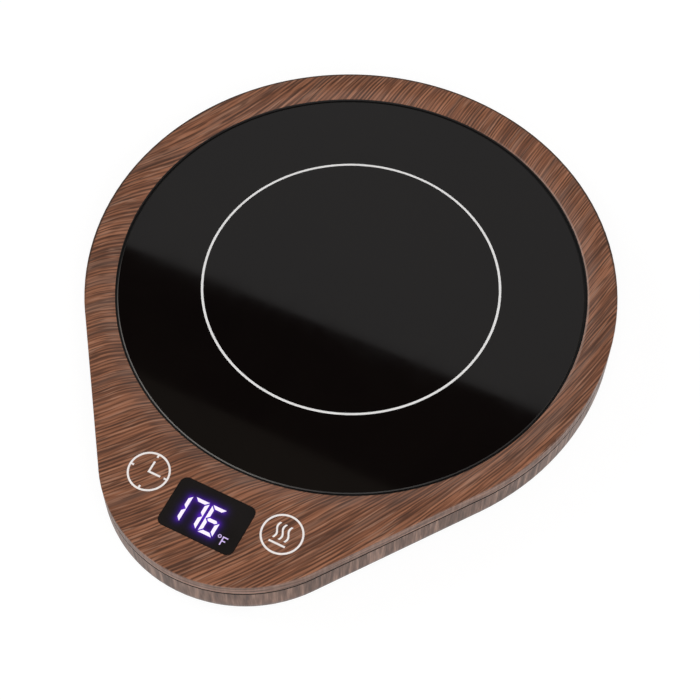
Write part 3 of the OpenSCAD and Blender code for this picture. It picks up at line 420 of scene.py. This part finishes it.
def cover_wood():
    """Film on the cover, bare on its inside, its joint and its lip, and rounded over the slope,
    with painted shade on the lip and the upper edge and a painted highlight on the lip.
    """
    material, t, shader, place = new_material("cover_wood_grain")
    normal, facing = surface_normal(t)
    height = t.split(place)[2]
    reach, outward = from_plate(t, place)

    # Bare plastic inside, at the joint and on the opening's wall; at the rear, painted shade on the
    # lip
    at_rear = t.toward(outward, BARE_AND_SHADED_LIP_SIDE)
    bare_and_shaded_to = t.range(at_rear, -0.4, 0.3, *BARE_AND_SHADED_LIP_R, smooth=True)
    darkened = t.math("MAXIMUM", t.math("LESS_THAN", facing, -0.5),
                    t.math("LESS_THAN", height, COVER_JOINT_Z))
    darkened = t.math("MAXIMUM", darkened, t.math("LESS_THAN", reach, bare_and_shaded_to))

    from_crease = t.math("ABSOLUTE", t.math("SUBTRACT", reach, CREASE_R))
    near = t.math("SUBTRACT", 1.0, t.math("DIVIDE", from_crease, CREASE_SPREAD), clamp=True)
    film, relief = lay_film(
        t, shader, place, facing, (0.0, 0.0, 0.0), Shade=1.0,
        Stretch=t.math("MULTIPLY", t.math("MULTIPLY", near, near), CREASE_SHIFT),
        Edge_Band=t.range(height, PARTING_Z, EDGE_HIGH_Z, 1.0, 0.75))

    # Painted highlight: a paler band on the lip's rounding, towards its right
    highlight = t.math("MULTIPLY", t.range(t.toward(outward, LIP_HIGHLIGHT_SIDE), 0.60, 1.0, smooth=True),
                  t.range(reach, *LIP_HIGHLIGHT_R))
    colour = t.mix(t.math("MULTIPLY", highlight, 0.4), film["Color"], LIP_HIGHLIGHT)
    # Painted shade: a dark line along the cover's upper edge, at the rear
    edge_shade = t.math("MULTIPLY", t.range(t.toward(outward, EDGE_SHADE_SIDE), -0.15, 0.15),
                  t.range(height, EDGE_LOW_Z, EDGE_HIGH_Z))
    edge_shade = t.math("MULTIPLY", edge_shade, t.range(reach, *EDGE_SHADE_R))
    colour = t.mix(t.math("MULTIPLY", edge_shade, 0.85), colour, EDGE_SHADE)
    finish_film(t, shader, film, colour, darkened)

    lean = t.range(reach, *SLOPE_R, 0.0, SLOPE_ANGLE, smooth=True)
    tilted = t.scaled(outward, t.math("MULTIPLY", t.math("SINE", lean), -1.0))
    rounded = t.vector("ADD", tilted, t.joined(0.0, 0.0, t.math("COSINE", lean)))
    on_top = t.range(facing, 0.78, 0.84)
    blended = t.add("ShaderNodeMix", {0: on_top, 4: normal, 5: rounded}, data_type="VECTOR")
    t.feed(relief.inputs["Normal"], blended.outputs[1])
    return material


def base_wood():
    """Film on the base with painted shade towards the table, and bare on its joint, floor and
    ledges.
    """
    material, t, shader, place = new_material("base_wood_grain")
    facing = surface_normal(t)[1]
    height = t.split(place)[2]
    darkened = t.math("MAXIMUM", t.math("GREATER_THAN", t.math("ABSOLUTE", facing), 0.6),
                    t.math("GREATER_THAN", height, BASE_JOINT_Z))
    film = lay_film(t, shader, place, facing, (0.013, 0.021, 0.0), Shade=0.92,
                    Low_Band=t.range(height, *LOW_SHADE_Z, 0.0, LOW_SHADE_DEPTH))[0]
    finish_film(t, shader, film, film["Color"], darkened)
    return material


def plate_glass():
    """Polished black glass with a ground edge, which has a painted highlight towards the left of
    the nose.
    """
    material, t, shader, place = new_material("plate_glass")
    marks = t.use(SMUDGES, Vector=place, Scale=1.0, Low=0.030, High=0.060)["Value"]
    cloud = t.use(SMUDGES, Vector=place, Scale=0.7, Low=0.0, High=1.0)["Value"]
    facing = surface_normal(t)[1]
    ground = t.math("MULTIPLY", t.math("GREATER_THAN", facing, 0.3),
                    t.math("LESS_THAN", facing, 0.95))
    # Painted highlight: the ground edge is paler towards the left of the nose
    to_highlight = t.toward(from_plate(t, place)[1], GLASS_HIGHLIGHT_SIDE)
    highlight = t.range(to_highlight, 0.66, 1.0, smooth=True)
    t.feed(shader["Base Color"], t.mix(ground, t.mix(cloud, DARK_GLASS, PALER_GLASS),
                                       t.mix(highlight, GROUND_GLASS, GLASS_EDGE_HIGHLIGHT)))
    t.feed(shader["Roughness"], t.math("MAXIMUM", marks, t.math("MULTIPLY", ground, 0.5)))
    shader["IOR"].default_value = GLASS_IOR
    return material


def window_smoked():
    """Smoked window, lit from below round the digits on its top face only."""
    material, t, shader, place = new_material("window_smoked")
    smoke = t.use(MOULDED, Vector=place, Scale=1.0, Color=(0.0085, 0.0070, 0.0068), Contrast=0.2)
    marks = t.use(SMUDGES, Vector=place, Scale=2.0, Low=0.16, High=0.26)
    t.feed(shader["Base Color"], smoke["Color"])
    t.feed(shader["Roughness"], marks["Value"])
    glow = 0.0
    for figure, middle_x in DIGITS:
        lit = {bar.replace(" ", "_"): float(bar in LIT_BARS[figure]) for bar in BAR_PLACES}
        digit = t.use(DIGIT_GLOW, Vector=place, Middle_X=middle_x * MM,
                      Middle_Y=WINDOW_CENTRE.y + DIGIT_MIDDLE_Y * MM,
                      Half_Width=DIGIT_HALF_W * MM, Half_Height=DIGIT_HALF_H * MM,
                      Spread=GLOW_SPREAD, **lit)
        glow = t.math("ADD", glow, digit["Glow"])
    on_top = t.math("GREATER_THAN", surface_normal(t)[1], 0.5)
    glow = t.math("MULTIPLY", t.math("MINIMUM", glow, GLOW_LIMIT), on_top)
    t.feed(shader["Emission Color"], t.scaled(GLOW_TINT, glow))
    shader["Emission Strength"].default_value = GLOW_STRENGTH
    return material


def print_material(name, colour, rough):
    """Screen-printed ink: nearly even, with a slightly broken surface."""
    material, t, shader, place = new_material(name)
    ink = t.use(MOULDED, Vector=place, Scale=1.3, Color=colour, Contrast=0.06)
    worn = t.use(SMUDGES, Vector=place, Scale=3.0, Low=rough - 0.06, High=rough + 0.08)
    t.feed(shader["Base Color"], ink["Color"])
    t.feed(shader["Roughness"], worn["Value"])
    add_bump(t, shader, ink["Height"], 0.15, 0.00002)
    return material


def moulded_material(name, colour, rough, contrast=0.15, scale=1.0, depth=0.00004):
    """Moulded plastic or rubber with a fine grain."""
    material, t, shader, place = new_material(name)
    body = t.use(MOULDED, Vector=place, Scale=scale, Color=colour, Contrast=contrast)
    worn = t.use(SMUDGES, Vector=place, Scale=1.5, Low=rough - 0.07, High=rough + 0.07)
    t.feed(shader["Base Color"], body["Color"])
    t.feed(shader["Roughness"], worn["Value"])
    add_bump(t, shader, body["Height"], 0.4, depth)
    return material


def metal_material(name, colour, line_scale):
    """Bare, plated or rolled metal with fine lines."""
    material, t, shader, place = new_material(name)
    skin = t.use(METAL, Vector=place, Line_Scale=line_scale, Color=colour)
    t.feed(shader["Base Color"], skin["Color"])
    t.feed(shader["Roughness"], skin["Roughness"])
    shader["Metallic"].default_value = 1.0
    add_bump(t, shader, skin["Height"], 0.2, 0.00001)
    return material


def felt_material(name, colour):
    """Pressed ceramic felt: tangled fibres over darker hollows."""
    material, t, shader, place = new_material(name)
    fibres = t.noise(place, (900.0, 2600.0, 1600.0), detail=4.0, roughness=0.7, distortion=1.5)
    hollow = [c * 0.72 for c in colour]
    t.feed(shader["Base Color"], t.ramp(fibres, ((0.3, hollow), (0.7, colour))))
    shader["Roughness"].default_value = 0.95
    add_bump(t, shader, fibres, 0.6, 0.0002)
    return material


def board_material(name):
    """Green solder mask over faint copper tracks."""
    material, t, shader, place = new_material(name)
    tracks = t.add("ShaderNodeTexBrick", {
        "Vector": place, "Scale": 260.0, "Color1": (0.030, 0.175, 0.070),
        "Color2": (0.036, 0.200, 0.082), "Mortar": (0.020, 0.120, 0.050),
        "Mortar Size": 0.06}, offset=0.5).outputs
    mask = t.use(MOULDED, Vector=place, Scale=1.0, Color=tracks["Color"], Contrast=0.10)
    t.feed(shader["Base Color"], mask["Color"])
    t.feed(shader["Roughness"], t.range(tracks["Fac"], 0.0, 1.0, 0.30, 0.40))
    add_bump(t, shader, tracks["Fac"], 0.3, 0.00003)
    return material


# Colour and roughness of the prints
PRINTS = {
    "plate_print": ((0.86, 0.85, 0.84), 0.32),
    "cover_print": ((0.94, 0.88, 0.85), 0.42),
}
# Colour and roughness of the mouldings, then contrast, scale and depth of a stronger grain
MOULDINGS = {
    "seal_rubber": ((0.006, 0.006, 0.006), 0.70),
    "display_body": ((0.030, 0.030, 0.034), 0.5),
    "mask_black": ((0.012, 0.012, 0.012), 0.6),
    "conductive_foam": ((0.045, 0.045, 0.047), 0.9, 0.5, 0.5, 0.0002),
    "chip_black": ((0.014, 0.014, 0.015), 0.45),
    "capacitor_yellow": ((0.55, 0.31, 0.02), 0.3, 0.08),
    "capacitor_sleeve": ((0.010, 0.018, 0.085), 0.28, 0.1),
    "terminal_green": ((0.020, 0.150, 0.075), 0.42, 0.1),
    "socket_cream": ((0.70, 0.64, 0.48), 0.4, 0.06),
    "film_amber": ((0.36, 0.12, 0.012), 0.22, 0.12),
    "probe_sleeve": ((0.018, 0.018, 0.020), 0.3),
    "lead_white": ((0.66, 0.63, 0.56), 0.5, 0.08),
    "lead_black": ((0.014, 0.014, 0.015), 0.5),
    "bush_rubber": ((0.012, 0.012, 0.012), 0.62, 0.2),
    "foot_rubber": ((0.018, 0.018, 0.018), 0.75, 0.25),
}
# Colour of the metals, and how close their lines are
METALS = {
    "screw_steel": ((0.42, 0.42, 0.43), 1.6),
    "fuse_nickel": ((0.55, 0.54, 0.50), 2.0),
    "spreader_aluminium": ((0.72, 0.73, 0.74), 0.6),
    "track_steel": ((0.46, 0.44, 0.40), 1.0),
    "shield_steel": ((0.48, 0.49, 0.50), 0.5),
}

slot_materials = {
    "cover_wood_grain": cover_wood(), "base_wood_grain": base_wood(),
    "plate_glass": plate_glass(), "window_smoked": window_smoked(),
    "board_green": board_material("board_green"),
    "pad_fibre": felt_material("pad_fibre", (0.78, 0.75, 0.68)),
}
for make, finishes in ((print_material, PRINTS), (moulded_material, MOULDINGS),
                       (metal_material, METALS)):
    for slot, values in finishes.items():
        slot_materials[slot] = make(slot, *values)

for part in frame["record"]["subparts"]:
    solid = frame["nodes"][part["node"]]
    solid.data.materials.clear()
    solid.data.materials.append(slot_materials[part["material_slot"]])


# --- Lit display ---

def light_material(name, colour, strength):
    """A light print: dark where it is unlit, with an even glow of its own."""
    material, t, shader, place = new_material(name)
    lit = t.use(MOULDED, Vector=place, Scale=0.6, Color=colour, Contrast=0.05)
    unlit = t.use(MOULDED, Vector=place, Scale=0.6, Color=(0.03, 0.025, 0.04), Contrast=0.2)
    t.feed(shader["Base Color"], unlit["Color"])
    t.feed(shader["Emission Color"], lit["Color"])
    shader["Emission Strength"].default_value = strength
    shader["Roughness"].default_value = 0.35
    return material


def link_object(name, data):
    item = bpy.data.objects.new(name, data)
    bpy.context.scene.collection.objects.link(item)
    return item


def take_mesh(item, name):
    """The finished mesh of a working object, which is deleted with its modifiers."""
    graph = bpy.context.evaluated_depsgraph_get()
    mesh = bpy.data.meshes.new_from_object(item.evaluated_get(graph))
    mesh.name = name
    item.modifiers.clear()
    bpy.data.objects.remove(item)
    return mesh


# Brings the corners of a hexagon of radius 1 to half a width on each side
TO_HALF_WIDTH = 0.57735


def bar_nodes(name):
    """Geometry Nodes: a flat bar on each point, turned and stretched by its attributes.

    Its ends are pointed. With a mitre of 1 they are cut at a slant, and the side towards the
    bar's own +Y is the longer one.
    """
    group = bpy.data.node_groups.new(name, "GeometryNodeTree")
    for label, kind in (("Points", "NodeSocketGeometry"), ("Bar Length", FLOAT),
                        ("Bar Width", FLOAT), ("Bar Thickness", FLOAT), ("Mitre", FLOAT),
                        ("Finish", "NodeSocketMaterial")):
        group.interface.new_socket(label, in_out="INPUT", socket_type=kind)
    group.interface.new_socket("Geometry", in_out="OUTPUT", socket_type="NodeSocketGeometry")
    t = Tree(group)
    given, out = t.add("NodeGroupInput").outputs, t.add("NodeGroupOutput").inputs
    length, width, mitre = given["Bar Length"], given["Bar Width"], given["Mitre"]

    hexagon = t.add("GeometryNodeMeshCircle", {"Vertices": 6, "Radius": 1.0}, fill_type="NGON")
    corner_x, corner_y, _ = t.split(t.add("GeometryNodeInputPosition").outputs[0])
    side = t.math("MULTIPLY", corner_y, TO_HALF_WIDTH)
    pointed = t.math("MULTIPLY", t.math("SUBTRACT", t.math("ABSOLUTE", corner_x), 0.5),
                     t.math("SUBTRACT", 1.0, mitre))
    reach = t.math("MULTIPLY_ADD", side, mitre, pointed)
    half_straight = t.math("MULTIPLY", t.math("SUBTRACT", length, width), 0.5)
    reach = t.math("MULTIPLY_ADD", reach, width, half_straight)
    x = t.math("MULTIPLY", t.math("SIGN", corner_x), reach)
    y = t.math("MULTIPLY", side, width)
    shaped = t.add("GeometryNodeSetPosition", {
        "Geometry": hexagon.outputs[0], "Position": t.joined(x, y, 0.0)}).outputs[0]

    raised = t.add("GeometryNodeExtrudeMesh", {
        "Mesh": shaped, "Offset Scale": given["Bar Thickness"], "Individual": False},
        mode="FACES").outputs[0]
    under = t.add("GeometryNodeFlipFaces", {0: shaped}).outputs[0]
    solid = t.add("GeometryNodeJoinGeometry")
    for half in (raised, under):
        t.feed(solid.inputs[0], half)
    closed = t.add("GeometryNodeMergeByDistance", {0: solid.outputs[0], "Distance": WELD})

    turn, stretch = (
        t.add("GeometryNodeInputNamedAttribute", {"Name": label}, data_type="FLOAT").outputs[0]
        for label in ("turn", "stretch"))
    placed = t.add("GeometryNodeInstanceOnPoints", {
        "Points": given["Points"], "Instance": closed.outputs[0],
        "Rotation": t.joined(0.0, 0.0, turn), "Scale": t.joined(stretch, 1.0, 1.0)})
    real = t.add("GeometryNodeRealizeInstances", {0: placed.outputs[0]})
    finished = t.add("GeometryNodeSetMaterial", {
        "Geometry": real.outputs[0], "Material": given["Finish"]})
    t.feed(out[0], finished.outputs[0])
    return group


def run_nodes(name, group, points, values):
    """Runs a bar tree on points given as (x, y, z, turn, stretch), and keeps a plain mesh."""
    mesh = bpy.data.meshes.new(name + "_points")
    mesh.from_pydata([point[:3] for point in points], [], [])
    for index, label in ((3, "turn"), (4, "stretch")):
        attribute = mesh.attributes.new(label, "FLOAT", "POINT")
        attribute.data.foreach_set("value", [point[index] for point in points])
    carrier = link_object(name + "_carrier", mesh)
    modifier = carrier.modifiers.new("bars", "NODES")
    modifier.node_group = group
    sockets = {s.name: s.identifier for s in group.interface.items_tree if s.in_out == "INPUT"}
    for label, value in values.items():
        modifier[sockets[label]] = value
    mesh.update()
    return link_object(name, take_mesh(carrier, name))


def digit_points(edge_bars):
    """Points of the edge bars or of the middle bars, and the length of a flat bar."""
    grown = BAR_WIDTH if edge_bars else 0.0
    upright_length = DIGIT_HALF_H - BAR_GAP + 0.5 * grown
    flat_length = 2 * DIGIT_HALF_W - BAR_GAP + grown
    points = []
    for figure, middle_x in DIGITS:
        for bar in LIT_BARS[figure]:
            if edge_bars == (bar == "Middle"):
                continue
            column, row, quarters = BAR_PLACES[bar]
            place = WINDOW_CENTRE + Vector((middle_x + column * DIGIT_HALF_W,
                                            DIGIT_MIDDLE_Y + row * DIGIT_HALF_H, 0.0)) * MM
            length = upright_length if quarters % 2 else flat_length
            points.append((*place, quarters * math.pi / 2, length / flat_length))
    return points, flat_length


lit_bars = light_material("lit_bars", (0.93, 0.84, 1.0), 1.06)
lit_sign = light_material("lit_sign", (0.72, 0.55, 0.98), 0.86)
mitred_bars = bar_nodes("mitred_bars")
for name, edge_bars in (("lit_digits", True), ("lit_middle_bars", False)):
    points, flat_length = digit_points(edge_bars)
    digits = run_nodes(name, mitred_bars, points, {
        "Bar Length": flat_length * MM, "Bar Width": BAR_WIDTH * MM,
        "Bar Thickness": PRINT_THICK, "Mitre": float(edge_bars), "Finish": lit_bars})
    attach(digits, "root")


def flat_print(name, loops, material):
    """A print on the window from closed loops of points, in which a loop inside one is a hole."""
    curve = bpy.data.curves.new(name, "CURVE")
    curve.dimensions = "2D"
    curve.fill_mode = "BOTH"
    curve.extrude = PRINT_THICK / 2
    for loop in loops:
        spline = curve.splines.new("POLY")
        spline.points.add(len(loop) - 1)
        for point, (x, y) in zip(spline.points, loop):
            point.co = (x, y, 0.0, 1.0)
        spline.use_cyclic_u = True
    mesh = take_mesh(link_object(name + "_curve", curve), name)
    mesh.transform(Matrix.Translation((0.0, 0.0, COVER_TOP + PRINT_THICK / 2)))
    shell = bmesh.new()
    shell.from_mesh(mesh)
    bmesh.ops.remove_doubles(shell, verts=shell.verts, dist=WELD)
    bmesh.ops.recalc_face_normals(shell, faces=shell.faces)
    shell.to_mesh(mesh)
    shell.free()
    mesh.materials.clear()
    mesh.materials.append(material)
    return link_object(name, mesh)


def unit_sign():
    """Loops of the degree ring and the letter F, from millimetres off the window's middle."""
    middle_x, middle_y = WINDOW_CENTRE.x, WINDOW_CENTRE.y
    left, right, low, high, line = 6.05, 7.40, -5.15, -2.85, 0.30
    stem, arm_low, arm_right = left + line, -4.15, right - 0.25
    letter = [(left, low), (stem, low), (stem, arm_low), (arm_right, arm_low),
              (arm_right, arm_low + line), (stem, arm_low + line), (stem, high - line),
              (right, high - line), (right, high), (left, high)]
    letter = [(middle_x + x * MM, middle_y + y * MM) for x, y in letter]
    ring_x, ring_y, ring_points = middle_x + 5.25 * MM, middle_y - 3.15 * MM, 28
    angles = [2 * math.pi * i / ring_points for i in range(ring_points)]
    rings = [[(ring_x + r * math.cos(a), ring_y + r * math.sin(a)) for a in angles]
             for r in (0.46 * MM, 0.25 * MM)]
    return [letter] + rings


sign = flat_print("lit_unit", unit_sign(), lit_sign)
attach(sign, "root")


# --- Studio ---

FLOOR_REACH, FLOOR_LEVEL = 6.0, -0.00005
# The paper under the object, and the darker one with a glow that camera and gloss see instead
PAPER, SEEN_PAPER, SEEN_GLOW = (0.90, 0.90, 0.90), (0.20, 0.20, 0.20), 0.86
WALL, CEILING = (0.95, 0.95, 0.95), (0.030, 0.027, 0.026)
WHITE, WARM = (1.0, 1.0, 1.0), (1.0, 0.87, 0.70)
LAMP_AIM = Vector((0.0, 0.0, 0.01))
# Lamps: place, width, depth, radiance, colour, and the turn about Z of one that faces down
LAMPS = {
    "front_key": ((0.45, -0.75, 1.15), 0.9, 0.9, 4.2, WHITE, None),
    "left_fill": ((-1.15, -0.15, 0.85), 0.8, 0.8, 2.2, WHITE, None),
    "right_fill": ((1.15, 0.35, 0.85), 0.7, 0.7, 1.6, WHITE, None),
    "rear_panel": ((-0.205, 0.898, 1.10), 0.75, 0.6, 0.42, WHITE, math.radians(1.8)),
    "ceiling_patch": ((-0.39, 0.33, 1.10), 0.46, 0.26, 0.105, WARM, 0.0),
}


def stage_floor():
    """Pale paper that shows the shadow, looks nearly white, and is clear from below."""
    mesh = bpy.data.meshes.new("studio_floor")
    corners = ((-1, -1), (1, -1), (1, 1), (-1, 1))
    mesh.from_pydata([(x * FLOOR_REACH, y * FLOOR_REACH, FLOOR_LEVEL) for x, y in corners],
                     [], [(0, 1, 2, 3)])
    floor = link_object("studio_floor", mesh)
    material = bpy.data.materials.new("studio_paper")
    material.use_nodes = True
    t = Tree(material.node_tree)
    nodes = material.node_tree.nodes
    nodes.remove(nodes["Principled BSDF"])
    paper = t.add("ShaderNodeBsdfDiffuse", {"Color": PAPER}).outputs[0]
    dimmed = t.add("ShaderNodeBsdfDiffuse", {"Color": SEEN_PAPER}).outputs[0]
    glow = t.add("ShaderNodeEmission", {"Color": WHITE, "Strength": SEEN_GLOW}).outputs[0]
    bright = t.add("ShaderNodeAddShader", {0: dimmed, 1: glow}).outputs[0]
    rays = t.add("ShaderNodeLightPath").outputs
    seen = t.math("MAXIMUM", rays["Is Camera Ray"],
                  t.math("MAXIMUM", rays["Is Glossy Ray"], rays["Is Transmission Ray"]))
    chosen = t.add("ShaderNodeMixShader", {0: seen, 1: paper, 2: bright}).outputs[0]
    below = t.add("ShaderNodeNewGeometry").outputs["Backfacing"]
    clear = t.add("ShaderNodeBsdfTransparent").outputs[0]
    open_below = t.add("ShaderNodeMixShader", {0: below, 1: chosen, 2: clear}).outputs[0]
    t.feed(nodes["Material Output"].inputs["Surface"], open_below)
    mesh.materials.append(material)


def studio_world():
    """White walls under a dark ceiling."""
    world = bpy.data.worlds.new("studio")
    bpy.context.scene.world = world
    world.use_nodes = True
    t = Tree(world.node_tree)
    background = world.node_tree.nodes["Background"].inputs
    height = t.split(t.add("ShaderNodeTexCoord").outputs["Generated"])[2]
    walls = t.ramp(height, ((0.0, WALL), (0.42, WALL), (0.66, CEILING), (1.0, CEILING)))
    t.feed(background["Color"], walls)
    background["Strength"].default_value = 1.0


def softbox(name, place, width, depth, radiance, colour, turn):
    """A rectangular lamp of a given radiance, which faces the object unless it has a turn."""
    lamp = bpy.data.lights.new(name, "AREA")
    lamp.shape = "RECTANGLE"
    lamp.size, lamp.size_y = width, depth
    lamp.energy = radiance * math.pi * width * depth
    lamp.color = colour
    holder = link_object(name, lamp)
    holder.location = place
    if turn is None:
        holder.rotation_euler = (LAMP_AIM - Vector(place)).to_track_quat("-Z", "Y").to_euler()
    else:
        holder.rotation_euler = (0.0, 0.0, turn)


def photo_camera():
    """The camera, from the fit of ring, glass and outline in an image of 700 pixels."""
    image_px, focal_px, distance, sensor = 700.0, 1673.7, 0.42719, 36.0
    around, above, roll = (math.radians(angle) for angle in (26.268, 58.913, 0.793))
    aside, upwards = 0.000293, 0.016936
    back = Vector((math.sin(around) * math.cos(above), -math.cos(around) * math.cos(above),
                   math.sin(above)))
    level = Vector((math.cos(around), math.sin(around), 0.0))
    over = back.cross(level)
    right = math.cos(roll) * level + math.sin(roll) * over
    up = math.cos(roll) * over - math.sin(roll) * level
    camera = link_object("photo_camera", bpy.data.cameras.new("photo_camera"))
    camera.data.sensor_width = sensor
    camera.data.lens = sensor * focal_px / image_px
    camera.data.clip_start = 0.01
    place = PLATE_CENTRE - right * aside - up * upwards + back * distance
    turned = Matrix((right, up, back)).transposed().to_4x4()
    camera.matrix_world = Matrix.Translation(place) @ turned
    bpy.context.scene.camera = camera


stage_floor()
studio_world()
for name, values in LAMPS.items():
    softbox(name, *values)
photo_camera()
bpy.context.scene.view_settings.view_transform = "Standard"
